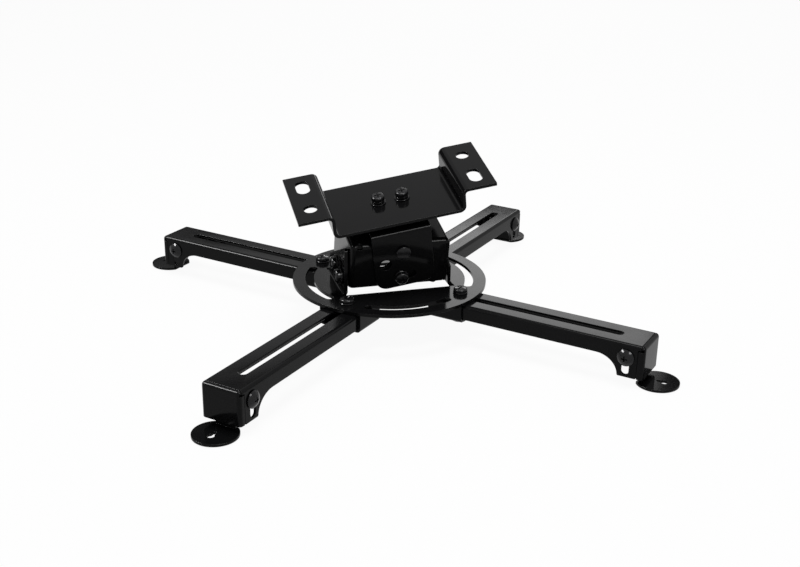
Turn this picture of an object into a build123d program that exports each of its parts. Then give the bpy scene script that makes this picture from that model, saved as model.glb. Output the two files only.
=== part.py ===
from build123d import *
import math
import os

os.makedirs("parts", exist_ok=True)

# sheet gauges
base_sheet = 2.5
sleeve_sheet = 1.7
arm_sheet = 2.0
foot_sheet = 2.0
tray_sheet = 2.5
saddle_sheet = 2.5
ceiling_sheet = 2.5

# clearances
pivot_gap = 0.05
turn_gap = 0.3
slide_gap = 0.3
layer_gap = 0.3
slot_gap = 0.4
bolt_gap = 0.2
foot_slot_gap = 0.3
cradle_gap = 0.8
cut_over = 1.0
snap = 0.01

# round base plate, its top face carries the tilt head
plate_top = 34.6
disc_r = 75.0
rim_soft = 0.5
clamp_circle_r = 62.0
arc_slot_w = 6.6
arc_slot_half_deg = 28.9
window_half_y = 29.3

# ears folded up out of the window
ear_bend_r = 2.0
ear_front_y = -27.0
ear_rear_y = 25.0
ear_tall = 37.0
ear_low = 14.6
ear_corner_r = 3.0
pitch_height = 15.0
pitch_range = 15.0
slot_over = 1.5
lock_inset = 9.8
ear_lap = 1.0

# tilt tray between the ears
tray_w = 76.4
tray_d = 53.6
tray_up = 31.3
tray_down = 5.9
tray_bend_r = 4.0
tray_edge_soft = 3.8
tray_fold_r = 2.2
tray_fold_in = 6.8
tray_fold_back = 1.2
tray_seam_w = 0.25
tray_seam_r = 1.7
ear_space = 1.2

# saddle over the tray, rolls on two pins
saddle_w = 45.6
saddle_up = 43.5
saddle_down = 5.6
saddle_bend_r = 3.2
saddle_corner_r = 9.0
roll_x = 1.2
roll_height = 24.5
roll_range = 12.0
roll_lock_r = 21.2
peep_x = 14.0
peep_drop = 8.4
peep_r = 4.4
peep_back_r = 6.0

# ceiling bracket, a folded hat section
pan_spacer_h = 6.8
pan_spacer_w = 40.0
pan_spacer_d = 20.0
pan_spacer_r = 3.0
pan_w = 95.2
ceiling_ear = 26.6
ceiling_d = 64.6
ceiling_rise = 16.8
ceiling_bend_r = 5.0
ceiling_hole_inset = 12.2
ceiling_hole_y = 15.5
ceiling_round_r = 5.0
ceiling_slot_w = 10.0
ceiling_slot_len = 17.6
pan_screw_x = 9.2

# pose in which the head is set, and turns of the plan
rest_pitch = 12.5
rest_roll = -9.0
corner_deg = 45
quarter_deg = 90

# arms, sleeves and feet, drawn along +X
arm_half = 15.6
arm_bend_r = 2.6
arm_in = 46.0
arm_end = 210.9
wall_back = 2.2
wall_drop = 14.2
ear_drop = 28.3
arm_corner_r = 1.2
flare_back = 16.4
flare_len = 16.5
arm_slot_w = 6.8
arm_slot_in = 57.5
arm_slot_back = 18.6
sleeve_in = 44.0
sleeve_out = 72.0
sleeve_bend_r = 3.0
foot_reach = 3.9
foot_bend_r = 3.2
foot_lap = 20.4
joggle_back = 1.8
joggle_len = 2.2
joggle_shift = 0.8
foot_top_drop = 6.4
foot_drop = 29.2
flange_drop = 19.4
tab_r = 14.7
tab_reach = 7.4
tab_hole_out = 2.8
tab_hole_r = 2.5
tab_key_w = 2.6
tab_key_len = 4.4
neck_half = 11.2
neck_bend_r = 2.8
neck_lap = 0.5
foot_screw_back = 10.7
foot_screw_drop = 13.2
foot_slot_low = 26.3

# fasteners
m6_r = 3.0
m5_r = 2.5
m6_nut_w = 10.0
m6_nut_h = 5.0
m5_nut_w = 8.0
m5_nut_h = 4.0
pan_head_r = 5.4
pan_head_h = 4.0
pan_head_soft = 1.6
shank_over = 1.0
truss_r = 6.3
truss_h = 3.4
truss_rim = 0.6
cross_len = 5.6
cross_w = 1.2
cross_deep = 1.8
washer_r = 6.6
washer_h = 1.2
flat_r = 5.8
spring_r = 4.8
spring_h = 1.7
cap_head_r = 5.0
cap_head_soft = 1.2
clamp_head_r = 5.3
clamp_head_h = 3.2
clamp_head_soft = 1.0
clamp_washer_r = 5.5
roll_screw_r = 4.8
roll_screw_h = 3.6
roll_screw_soft = 1.4
roll_washer_r = 5.3
clamp_nut_w = 11.0
roll_head_r = 5.6
roll_head_h = 1.8
roll_head_soft = 0.6
pin_over = 3.0
ring_wide = 1.1
ring_h = 2.0

# heights and half widths that follow
plate_low = plate_top - base_sheet
pitch_z = plate_top + pitch_height
roll_z = pitch_z + roll_height
ear_in = tray_w / 2 + ear_space
ear_out = ear_in + base_sheet
window_half_x = ear_out + ear_bend_r
lock_r = tray_d / 2 - lock_inset
ceiling_w = pan_w + 2 * ceiling_ear
ceiling_hole_x = ceiling_w / 2 - ceiling_hole_inset
arm_top = plate_low - layer_gap
arm_low = plate_top - ear_drop
wall_low = plate_top - wall_drop
arm_in_half = arm_half - arm_sheet
sleeve_low = wall_low - cradle_gap - sleeve_sheet
sleeve_half = arm_half + slide_gap + sleeve_sheet
foot_half = arm_in_half - slide_gap
foot_top = plate_top - foot_top_drop
relief_top = foot_top + slot_gap
foot_low = plate_top - foot_drop
flange_low = plate_top - flange_drop
foot_screw_z = plate_top - foot_screw_drop
saddle_in = tray_d / 2 + turn_gap
saddle_out = saddle_in + saddle_sheet
saddle_top = pitch_z + saddle_up
pan_top = saddle_top + pan_spacer_h + ceiling_sheet
pitch_axis = Axis((0, 0, pitch_z), (1, 0, 0))
roll_axis = Axis((roll_x, 0, roll_z), (0, 1, 0))
wall_end = arm_end - wall_back
flare_end = arm_end - flare_back
flare_start = flare_end - flare_len
arm_slot_out = arm_end - arm_slot_back
foot_screw_x = arm_end - foot_screw_back
foot_in = arm_end - foot_lap
joggle_start = arm_end - joggle_back
joggle_end = joggle_start + joggle_len
foot_face = arm_end + foot_reach
tab_x = foot_face + tab_reach
tab_hole_x = tab_x + tab_hole_out
tab_key_in = tab_hole_x - tab_key_len


def save(name, shape):
    shape.label = name
    export_step(shape, "parts/" + name + ".step")


def tilted(shape):
    return shape.rotate(pitch_axis, rest_pitch)


def rolled(shape):
    return tilted((Pos(roll_x, 0, 0) * shape).rotate(roll_axis, rest_roll))


def channel(half, web, edge, sheet, bend_r):
    inner = web - math.copysign(sheet, web - edge)
    with BuildSketch() as section:
        with BuildLine():
            Polyline(
                (-half, edge),
                (-half, web),
                (half, web),
                (half, edge),
                (half - sheet, edge),
                (half - sheet, inner),
                (-half + sheet, inner),
                (-half + sheet, edge),
                close=True,
            )
        make_face()
        fillet(section.vertices().filter_by_position(Axis.Y, inner - snap, inner + snap), bend_r - sheet)
        fillet(section.vertices().filter_by_position(Axis.Y, web - snap, web + snap), bend_r)
    return section.sketch


def tray_plan(inset, bend_r):
    with BuildSketch() as plan:
        Rectangle(tray_w - 2 * inset, tray_d - 2 * inset)
        bends = [(-tray_w / 2, -tray_d / 2), (tray_w / 2, tray_d / 2)]
        fillet([plan.vertices().sort_by_distance(bend)[0] for bend in bends], bend_r)
    return plan.sketch


def cross_screw(head_r, head_h, soft, shank_r, shank_len):
    with BuildPart() as screw:
        with BuildSketch():
            Circle(head_r)
        extrude(amount=head_h)
        fillet(screw.edges().group_by(Axis.Z)[-1], soft)
        with BuildSketch():
            Circle(shank_r)
        extrude(amount=-shank_len)
        with BuildSketch(Plane.XY.offset(head_h)):
            Rectangle(cross_len, cross_w)
            Rectangle(cross_w, cross_len)
        extrude(amount=-cross_deep, mode=Mode.SUBTRACT)
    return screw.part


def truss_screw(shank_len):
    with BuildPart() as screw:
        with BuildSketch(Plane.XZ):
            with BuildLine():
                Polyline(
                    (0, truss_h),
                    (0, -shank_len),
                    (m5_r, -shank_len),
                    (m5_r, 0),
                    (truss_r, 0),
                    (truss_r, truss_rim),
                )
                TangentArc((0, truss_h), (truss_r, truss_rim), tangent=(1, 0))
            make_face()
        revolve(axis=Axis.Z)
        with BuildSketch(Plane.XY.offset(truss_h)):
            Rectangle(cross_len, cross_w)
            Rectangle(cross_w, cross_len)
        extrude(amount=-cross_deep, mode=Mode.SUBTRACT)
    return screw.part


def washer(outer_r, inner_r, height):
    with BuildPart() as ring:
        with BuildSketch():
            Circle(outer_r)
            Circle(inner_r, mode=Mode.SUBTRACT)
        extrude(amount=height)
    return ring.part


def hex_nut(width, inner_r, height):
    with BuildPart() as nut:
        with BuildSketch():
            RegularPolygon(width / 2, 6, major_radius=False)
            Circle(inner_r, mode=Mode.SUBTRACT)
        extrude(amount=height)
    return nut.part


lock_swing = pitch_range + slot_over
roll_swing = roll_range + slot_over
lock_arc = CenterArc((0, pitch_z), lock_r, 180 - lock_swing, 2 * lock_swing)
roll_arc = CenterArc((0, roll_z), roll_lock_r, -90 - roll_swing, 2 * roll_swing)
arc_w = 2 * m6_r + 2 * slot_gap

# left ear, tall in front, with its pivot hole and its curved locking slot
with BuildPart() as ear:
    with BuildSketch(Plane.XZ.offset(-ear_rear_y)) as ear_section:
        with BuildLine():
            Polyline(
                (-ear_in, plate_low),
                (-ear_in, plate_top + ear_tall),
                (-ear_out, plate_top + ear_tall),
                (-ear_out, plate_top),
                (-window_half_x - ear_lap, plate_top),
                (-window_half_x - ear_lap, plate_low),
                close=True,
            )
        make_face()
        fillet(ear_section.vertices().sort_by_distance((-ear_in, plate_low))[0], ear_bend_r + base_sheet)
        fillet(ear_section.vertices().sort_by_distance((-ear_out, plate_top))[0], ear_bend_r)
    extrude(amount=ear_rear_y - ear_front_y)
    with BuildSketch(Plane.YZ.offset(-ear_out - cut_over)):
        ear_slope = (ear_tall - ear_low) / (ear_rear_y - ear_front_y)
        with BuildLine():
            Polyline(
                (ear_front_y, plate_top + ear_tall),
                (ear_rear_y + cut_over, plate_top + ear_low - ear_slope * cut_over),
                (ear_rear_y + cut_over, plate_top + ear_tall + cut_over),
                (ear_front_y, plate_top + ear_tall + cut_over),
                close=True,
            )
        make_face()
    extrude(amount=base_sheet + 2 * cut_over, mode=Mode.SUBTRACT)
    fillet(ear.edges().filter_by(Axis.X).group_by(Axis.Z)[-1], ear_corner_r)
    with BuildSketch(Plane.YZ.offset(-ear_out - cut_over)):
        with Locations((0, pitch_z)):
            Circle(m6_r + bolt_gap)
        SlotArc(lock_arc, arc_w)
    extrude(amount=base_sheet + 2 * cut_over, mode=Mode.SUBTRACT)

with BuildPart() as base_plate:
    with BuildSketch(Plane.XY.offset(plate_low)):
        Circle(disc_r)
        Rectangle(2 * window_half_x, 2 * window_half_y, mode=Mode.SUBTRACT)
        for turn in range(4):
            SlotArc(
                CenterArc((0, 0), clamp_circle_r, quarter_deg * turn - arc_slot_half_deg, 2 * arc_slot_half_deg),
                arc_slot_w,
                mode=Mode.SUBTRACT,
            )
        with PolarLocations(clamp_circle_r, 4, corner_deg):
            Circle(m6_r + bolt_gap, mode=Mode.SUBTRACT)
    extrude(amount=base_sheet)
    fillet(base_plate.edges().filter_by(GeomType.CIRCLE).sort_by(SortBy.RADIUS)[-2:], rim_soft)
    add(ear.part)
    add(ear.part.rotate(Axis.Z, 180))
save("base_plate", base_plate.part)

# tray: a top plate with its sides folded down; each end wall runs on from one side wall round a bend
# and meets the other side wall at an open seam
with BuildPart() as tray:
    with BuildSketch(Plane.XY.offset(pitch_z - tray_down)):
        add(tray_plan(0, tray_bend_r))
    extrude(amount=tray_up + tray_down)
    fillet(tray.faces().sort_by(Axis.Z)[-1].edges(), tray_edge_soft)
    with BuildSketch(Plane.XY.offset(pitch_z - tray_down)):
        add(tray_plan(tray_sheet, tray_bend_r - tray_sheet))
    extrude(amount=tray_up + tray_down - tray_sheet, mode=Mode.SUBTRACT)
    fold_x = tray_w / 2 - tray_fold_in
    fold_y = tray_d / 2 - tray_fold_back
    seam_x = tray_w / 2 - tray_sheet
    seam_y = tray_d / 2 - tray_sheet
    with BuildSketch(Plane.XY.offset(pitch_z + tray_up)):
        with Locations((-fold_x, -fold_y), (fold_x, fold_y)):
            Circle(tray_fold_r)
        with Locations((seam_x, -seam_y), (-seam_x, seam_y)):
            Circle(tray_seam_r)
    extrude(amount=-tray_bend_r, mode=Mode.SUBTRACT)
    with BuildSketch(Plane.XY.offset(pitch_z - tray_down)):
        with Locations((seam_x - tray_seam_w / 2, -seam_y), (-seam_x + tray_seam_w / 2, seam_y)):
            Rectangle(tray_seam_w, 2 * tray_sheet + 2 * cut_over)
    extrude(amount=tray_up + tray_down - tray_bend_r, mode=Mode.SUBTRACT)
    with BuildSketch(Plane.XZ.offset(-tray_d)):
        with Locations((roll_x, roll_z), (roll_x, roll_z - roll_lock_r)):
            Circle(m6_r)
    extrude(amount=2 * tray_d, mode=Mode.SUBTRACT)
    with BuildSketch(Plane.XZ):
        with Locations((roll_x - peep_x, roll_z - peep_drop)):
            Circle(peep_back_r)
    extrude(amount=tray_d, mode=Mode.SUBTRACT)
    with BuildSketch(Plane.XZ):
        with Locations((roll_x + peep_x, roll_z - peep_drop)):
            Circle(peep_back_r)
    extrude(amount=-tray_d, mode=Mode.SUBTRACT)
    with BuildSketch(Plane.YZ.offset(-tray_w)):
        with Locations((0, pitch_z)):
            Circle(m6_r + pivot_gap)
    extrude(amount=2 * tray_w, mode=Mode.SUBTRACT)
    with BuildSketch(Plane.YZ):
        with Locations((-lock_r, pitch_z)):
            Circle(m6_r)
    extrude(amount=-tray_w, mode=Mode.SUBTRACT)
    with BuildSketch(Plane.YZ):
        with Locations((lock_r, pitch_z)):
            Circle(m6_r)
    extrude(amount=tray_w, mode=Mode.SUBTRACT)
save("tilt_tray", tilted(tray.part))

# saddle: an inverted U with a pin hole and a curved slot in each flange
with BuildPart() as saddle:
    with BuildSketch(Plane.YZ.offset(-saddle_w / 2)):
        add(channel(saddle_out, saddle_top, pitch_z - saddle_down, saddle_sheet, saddle_bend_r))
    extrude(amount=saddle_w)
    fillet(saddle.edges().filter_by(Axis.Y).group_by(Axis.Z)[0], saddle_corner_r)
    with BuildSketch(Plane.XZ.offset(-saddle_out - cut_over)):
        with Locations((0, roll_z)):
            Circle(m6_r + pivot_gap)
        SlotArc(roll_arc, arc_w)
    extrude(amount=2 * saddle_out + 2 * cut_over, mode=Mode.SUBTRACT)
    with BuildSketch(Plane.XZ):
        with Locations((-peep_x, roll_z - peep_drop)):
            Circle(peep_r)
    extrude(amount=saddle_out + cut_over, mode=Mode.SUBTRACT)
    with BuildSketch(Plane.XZ):
        with Locations((peep_x, roll_z - peep_drop)):
            Circle(peep_r)
    extrude(amount=-saddle_out - cut_over, mode=Mode.SUBTRACT)
    with BuildSketch(Plane.XY.offset(saddle_top)):
        with GridLocations(2 * pan_screw_x, 0, 2, 1):
            Circle(m6_r + bolt_gap)
    extrude(amount=-saddle_sheet - cut_over, mode=Mode.SUBTRACT)
save("saddle", rolled(saddle.part))

with BuildPart() as pan_spacer:
    with BuildSketch(Plane.XY.offset(saddle_top)):
        RectangleRounded(pan_spacer_w, pan_spacer_d, pan_spacer_r)
        with GridLocations(2 * pan_screw_x, 0, 2, 1):
            Circle(m6_r + bolt_gap, mode=Mode.SUBTRACT)
    extrude(amount=pan_spacer_h)
save("pan_spacer", rolled(pan_spacer.part))

# ceiling bracket: pan, two upright webs and two ears with a round hole and an oblong hole each
with BuildPart() as ceiling_bracket:
    with BuildSketch(Plane.XZ.offset(-ceiling_d / 2)) as hat:
        pan_half = pan_w / 2
        web_out = pan_half + ceiling_sheet
        ear_top = pan_top + ceiling_rise
        with BuildLine():
            Polyline(
                (-ceiling_w / 2, ear_top),
                (-pan_half, ear_top),
                (-pan_half, pan_top),
                (pan_half, pan_top),
                (pan_half, ear_top),
                (ceiling_w / 2, ear_top),
                (ceiling_w / 2, ear_top - ceiling_sheet),
                (web_out, ear_top - ceiling_sheet),
                (web_out, pan_top - ceiling_sheet),
                (-web_out, pan_top - ceiling_sheet),
                (-web_out, ear_top - ceiling_sheet),
                (-ceiling_w / 2, ear_top - ceiling_sheet),
                close=True,
            )
        make_face()
        for side in (-1, 1):
            for corner, radius in (
                ((side * pan_half, ear_top), ceiling_bend_r),
                ((side * pan_half, pan_top), ceiling_bend_r - ceiling_sheet),
                ((side * web_out, ear_top - ceiling_sheet), ceiling_bend_r - ceiling_sheet),
                ((side * web_out, pan_top - ceiling_sheet), ceiling_bend_r),
            ):
                fillet(hat.vertices().sort_by_distance(corner)[0], radius)
    extrude(amount=ceiling_d)
    with BuildSketch(Plane.XY.offset(pan_top + ceiling_rise)):
        with Locations((-ceiling_hole_x, -ceiling_hole_y), (ceiling_hole_x, ceiling_hole_y)):
            Circle(ceiling_round_r)
        with Locations((-ceiling_hole_x, ceiling_hole_y), (ceiling_hole_x, -ceiling_hole_y)):
            SlotOverall(ceiling_slot_len, ceiling_slot_w, rotation=90)
    extrude(amount=-ceiling_sheet - cut_over, mode=Mode.SUBTRACT)
    with BuildSketch(Plane.XY.offset(pan_top)):
        with GridLocations(2 * pan_screw_x, 0, 2, 1):
            Circle(m6_r + bolt_gap)
    extrude(amount=-ceiling_sheet - cut_over, mode=Mode.SUBTRACT)
save("ceiling_bracket", rolled(ceiling_bracket.part))

# pan screws with flat and spring washers above and nuts below the saddle
nut_low = saddle_top - saddle_sheet - m6_nut_h
flat_low = pan_top
spring_low = flat_low + washer_h
head_low = spring_low + spring_h
pan_spots = [Pos(-pan_screw_x, 0, 0), Pos(pan_screw_x, 0, 0)]
pan_screw = cross_screw(cap_head_r, pan_head_h, cap_head_soft, m6_r, head_low - nut_low + shank_over)
save("pan_screws", rolled(Compound([spot * Pos(0, 0, head_low) * pan_screw for spot in pan_spots])))
spring = washer(spring_r, m6_r, spring_h)
save("pan_spring_washers", rolled(Compound([spot * Pos(0, 0, spring_low) * spring for spot in pan_spots])))
flat = washer(flat_r, m6_r, washer_h)
save("pan_flat_washers", rolled(Compound([spot * Pos(0, 0, flat_low) * flat for spot in pan_spots])))
m6_nut = hex_nut(m6_nut_w, m6_r, m6_nut_h)
save("pan_nuts", rolled(Compound([spot * Pos(0, 0, nut_low) * m6_nut for spot in pan_spots])))

# roll pins and roll clamp screws, front and rear, held in the tray
front = Pos(0, -saddle_out - turn_gap, 0) * Rot(90, 0, 0)
rear = Rot(0, 0, 2 * quarter_deg) * front
pin_len = saddle_sheet + 2 * turn_gap + tray_sheet + pin_over
with BuildPart() as roll_pin:
    with BuildSketch():
        Circle(roll_head_r)
    extrude(amount=roll_head_h)
    fillet(roll_pin.edges().group_by(Axis.Z)[-1], roll_head_soft)
    with BuildSketch():
        Circle(m6_r)
    extrude(amount=-pin_len)
ends = [front, rear]
at_roll = [Pos(roll_x, 0, roll_z) * end for end in ends]
at_clamp = [Pos(roll_x, 0, roll_z - roll_lock_r) * end for end in ends]
save("roll_pins", tilted(Compound([spot * roll_pin.part for spot in at_roll])))
ring_low = -saddle_sheet - 2 * turn_gap - tray_sheet - ring_h
pin_ring = washer(m6_r + ring_wide, m6_r, ring_h)
save("roll_pin_rings", tilted(Compound([spot * Pos(0, 0, ring_low) * pin_ring for spot in at_roll])))
clamp_len = washer_h + saddle_sheet + 2 * turn_gap + tray_sheet + m6_nut_h + shank_over
roll_screw = cross_screw(roll_screw_r, roll_screw_h, roll_screw_soft, m6_r, clamp_len)
roll_washer = washer(roll_washer_r, m6_r, washer_h)
save("roll_screws", tilted(Compound([spot * Pos(0, 0, washer_h) * roll_screw for spot in at_clamp])))
save("roll_washers", tilted(Compound([spot * roll_washer for spot in at_clamp])))
roll_nut_low = -saddle_sheet - 2 * turn_gap - tray_sheet - m6_nut_h
save("roll_nuts", tilted(Compound([spot * Pos(0, 0, roll_nut_low) * m6_nut for spot in at_clamp])))

# pitch bolts through the ears, with spacers outside the tray and nuts inside it
left = Pos(-ear_out, 0, 0) * Rot(0, -90, 0)
right = Rot(0, 0, 180) * left
at_pitch = [Pos(0, 0, pitch_z) * side for side in (left, right)]
nut_face = -base_sheet - ear_space - tray_sheet - turn_gap
pitch_len = washer_h - nut_face + m6_nut_h + shank_over
pitch_bolt = cross_screw(pan_head_r, pan_head_h, pan_head_soft, m6_r, pitch_len)
save("pitch_bolts", Compound([spot * Pos(0, 0, washer_h) * pitch_bolt for spot in at_pitch]))
pitch_washer = washer(washer_r, m6_r, washer_h)
save("pitch_washers", Compound([spot * pitch_washer for spot in at_pitch]))
pitch_spacer = washer(washer_r, m6_r, ear_space - turn_gap)
spacer_low = -base_sheet - ear_space + turn_gap
save("pitch_spacers", Compound([spot * Pos(0, 0, spacer_low) * pitch_spacer for spot in at_pitch]))
save("pitch_nuts", Compound([spot * Pos(0, 0, nut_face - m6_nut_h) * m6_nut for spot in at_pitch]))

# pitch locking screws in the curved ear slots, held in the tray
lock_left = Pos(-ear_out - turn_gap, -lock_r, pitch_z) * Rot(0, -90, 0)
lock_right = Rot(0, 0, 180) * lock_left
at_lock = [lock_left, lock_right]
lock_len = washer_h + turn_gap + base_sheet + ear_space + tray_sheet + m6_nut_h + shank_over
lock_washer = washer(washer_r, m6_r, washer_h)
lock_screw = cross_screw(pan_head_r, pan_head_h, pan_head_soft, m6_r, lock_len)
lock_nut_low = -turn_gap - base_sheet - ear_space - tray_sheet - m6_nut_h
save("lock_screws", tilted(Compound([spot * Pos(0, 0, washer_h) * lock_screw for spot in at_lock])))
save("lock_washers", tilted(Compound([spot * lock_washer for spot in at_lock])))
save("lock_nuts", tilted(Compound([spot * Pos(0, 0, lock_nut_low) * m6_nut for spot in at_lock])))

# sleeve: a short cradle under the plate in which the arm lies
with BuildPart() as sleeve:
    with BuildSketch(Plane.YZ.offset(sleeve_in)):
        add(channel(sleeve_half, sleeve_low, arm_top, sleeve_sheet, sleeve_bend_r))
    extrude(amount=sleeve_out - sleeve_in)
    with BuildSketch(Plane.XY.offset(sleeve_low)):
        with Locations((clamp_circle_r, 0)):
            Circle(m6_r + pivot_gap)
    extrude(amount=sleeve_sheet + cut_over, mode=Mode.SUBTRACT)

# arm: a long slotted channel whose side walls flare down at the outer end
with BuildPart() as arm:
    with BuildSketch(Plane.YZ.offset(arm_in)):
        add(channel(arm_half, arm_top, arm_low, arm_sheet, arm_bend_r))
    extrude(amount=arm_end - arm_in)
    with BuildSketch(Plane.XZ.offset(-arm_half - cut_over)):
        with BuildLine():
            Polyline(
                (flare_end, arm_low),
                (flare_end, arm_low - cut_over),
                (arm_in - cut_over, arm_low - cut_over),
                (arm_in - cut_over, wall_low),
                (flare_start, wall_low),
            )
            EllipticalCenterArc(
                (flare_start, arm_low),
                flare_end - flare_start,
                wall_low - arm_low,
                start_angle=0,
                arc_size=quarter_deg,
            )
        make_face()
    extrude(amount=2 * arm_half + 2 * cut_over, mode=Mode.SUBTRACT)
    with BuildSketch(Plane.XZ.offset(-arm_half - cut_over)):
        with Locations((wall_end, relief_top)):
            Rectangle(
                arm_end - wall_end + cut_over,
                relief_top - arm_low + cut_over,
                align=(Align.MIN, Align.MAX),
            )
    extrude(amount=2 * arm_half + 2 * cut_over, mode=Mode.SUBTRACT)
    with BuildSketch(Plane.XZ.offset(-arm_half - cut_over)):
        slot_high = foot_screw_z + m5_r + slot_gap
        slot_low = plate_top - foot_slot_low
        with Locations((foot_screw_x, (slot_high + slot_low) / 2)):
            SlotOverall(slot_high - slot_low, 2 * (m5_r + foot_slot_gap), rotation=90)
    extrude(amount=2 * arm_half + 2 * cut_over, mode=Mode.SUBTRACT)
    with BuildSketch(Plane.XY.offset(arm_top)):
        with Locations(((arm_slot_in + arm_slot_out) / 2, 0)):
            SlotOverall(arm_slot_out - arm_slot_in, arm_slot_w)
    extrude(amount=-arm_sheet - cut_over, mode=Mode.SUBTRACT)
    ear_corners = arm.edges().filter_by(Axis.Y).filter_by_position(Axis.Z, arm_low - snap, arm_low + snap)
    fillet(ear_corners, arm_corner_r)

# foot: an end plate with two joggled flanges inside the arm and a round tab below
with BuildPart() as foot:
    with BuildSketch(Plane.XY.offset(foot_low)) as foot_plan:
        with BuildLine():
            Polyline(
                (foot_in, foot_half),
                (joggle_start, foot_half),
                (joggle_end, arm_half),
                (foot_face, arm_half),
                (foot_face, -arm_half),
                (joggle_end, -arm_half),
                (joggle_start, -foot_half),
                (foot_in, -foot_half),
                (foot_in, -foot_half + foot_sheet),
                (joggle_start + joggle_shift, -foot_half + foot_sheet),
                (joggle_end + joggle_shift, -arm_half + foot_sheet),
                (foot_face - foot_sheet, -arm_half + foot_sheet),
                (foot_face - foot_sheet, arm_half - foot_sheet),
                (joggle_end + joggle_shift, arm_half - foot_sheet),
                (joggle_start + joggle_shift, foot_half - foot_sheet),
                (foot_in, foot_half - foot_sheet),
                close=True,
            )
        make_face()
        fillet(foot_plan.vertices().group_by(Axis.X)[-1], foot_bend_r)
    extrude(amount=foot_top - foot_low)
    with BuildSketch(Plane.XZ.offset(-arm_half - cut_over)):
        with Locations((joggle_start, flange_low)):
            Rectangle(
                joggle_start - foot_in + cut_over,
                flange_low - foot_low + cut_over,
                align=(Align.MAX, Align.MAX),
            )
    extrude(amount=2 * arm_half + 2 * cut_over, mode=Mode.SUBTRACT)
    with BuildSketch(Plane.XY):
        with Locations((tab_x, 0)):
            Circle(tab_r)
        with Locations((foot_face - foot_sheet - tab_r, 0)):
            Rectangle(2 * tab_r, 2 * tab_r, mode=Mode.SUBTRACT)
        with Locations(((foot_face - foot_sheet + tab_x) / 2, 0)):
            Rectangle(tab_x - foot_face + foot_sheet, 2 * neck_half)
    extrude(amount=foot_sheet)
    with BuildSketch(Plane.XY):
        with Locations((foot_face - foot_sheet / 2, 0)):
            Rectangle(foot_sheet, 2 * neck_half)
    extrude(amount=foot_low + neck_lap)
    bend_edges = foot.edges().filter_by(Axis.Y)
    fillet(bend_edges.sort_by_distance((foot_face - foot_sheet, 0, 0))[0], neck_bend_r)
    inner_bend = foot.edges().filter_by(Axis.Y).sort_by_distance((foot_face, 0, foot_sheet))[0]
    fillet(inner_bend, neck_bend_r - foot_sheet)
    with BuildSketch(Plane.XY):
        with Locations((tab_hole_x, 0)):
            Circle(tab_hole_r)
        with Locations(((tab_key_in + tab_hole_x) / 2, 0)):
            SlotOverall(tab_hole_x - tab_key_in + tab_key_w / 2, tab_key_w)
    extrude(amount=foot_sheet, mode=Mode.SUBTRACT)
    with BuildSketch(Plane.XZ.offset(-arm_half - cut_over)):
        with Locations((foot_screw_x, foot_screw_z)):
            Circle(m5_r)
    extrude(amount=2 * arm_half + 2 * cut_over, mode=Mode.SUBTRACT)

# truss screws through the arm slots into nuts on the foot flanges
foot_shank = slide_gap + arm_half - foot_half + foot_sheet + m5_nut_h + shank_over
foot_screw = truss_screw(foot_shank)
foot_nut = hex_nut(m5_nut_w, m5_r, m5_nut_h)
side_near = Pos(foot_screw_x, -arm_half - slide_gap, foot_screw_z) * Rot(90, 0, 0)
side_far = Pos(foot_screw_x, arm_half + slide_gap, foot_screw_z) * Rot(-90, 0, 0)
foot_nut_low = -(slide_gap + arm_half - foot_half + foot_sheet + m5_nut_h)
foot_screws = Compound([spot * foot_screw for spot in (side_near, side_far)])
foot_nuts = Compound([spot * Pos(0, 0, foot_nut_low) * foot_nut for spot in (side_near, side_far)])

for turn, corner in enumerate(("fr", "rr", "rl", "fl")):
    angle = quarter_deg * turn - corner_deg
    save("sleeve_" + corner, sleeve.part.rotate(Axis.Z, angle))
    save("arm_" + corner, arm.part.rotate(Axis.Z, angle))
    save("foot_" + corner, foot.part.rotate(Axis.Z, angle))
    save("foot_screws_" + corner, foot_screws.rotate(Axis.Z, angle))
    save("foot_nuts_" + corner, foot_nuts.rotate(Axis.Z, angle))

# clamp screws that hold the sleeves and arms to the plate, with square nuts under the sleeves
clamp_spots = [Rot(0, 0, corner_deg + quarter_deg * turn) * Pos(clamp_circle_r, 0, 0) for turn in range(4)]
clamp_nut_top = sleeve_low - turn_gap
clamp_head_low = plate_top + washer_h
with BuildPart() as clamp_nut:
    with BuildSketch():
        Rectangle(clamp_nut_w, clamp_nut_w)
        Circle(m6_r, mode=Mode.SUBTRACT)
    extrude(amount=m6_nut_h)
clamp_shank = clamp_head_low - clamp_nut_top + m6_nut_h + shank_over
clamp_screw = cross_screw(clamp_head_r, clamp_head_h, clamp_head_soft, m6_r, clamp_shank)
clamp_washer = washer(clamp_washer_r, m6_r, washer_h)
save("clamp_screws", Compound([spot * Pos(0, 0, clamp_head_low) * clamp_screw for spot in clamp_spots]))
save("clamp_washers", Compound([spot * Pos(0, 0, plate_top) * clamp_washer for spot in clamp_spots]))
clamp_nut_low = clamp_nut_top - m6_nut_h
save("clamp_nuts", Compound([spot * Pos(0, 0, clamp_nut_low) * clamp_nut.part for spot in clamp_spots]))
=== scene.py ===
import bpy
import math
from mathutils import Matrix, Vector


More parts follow.
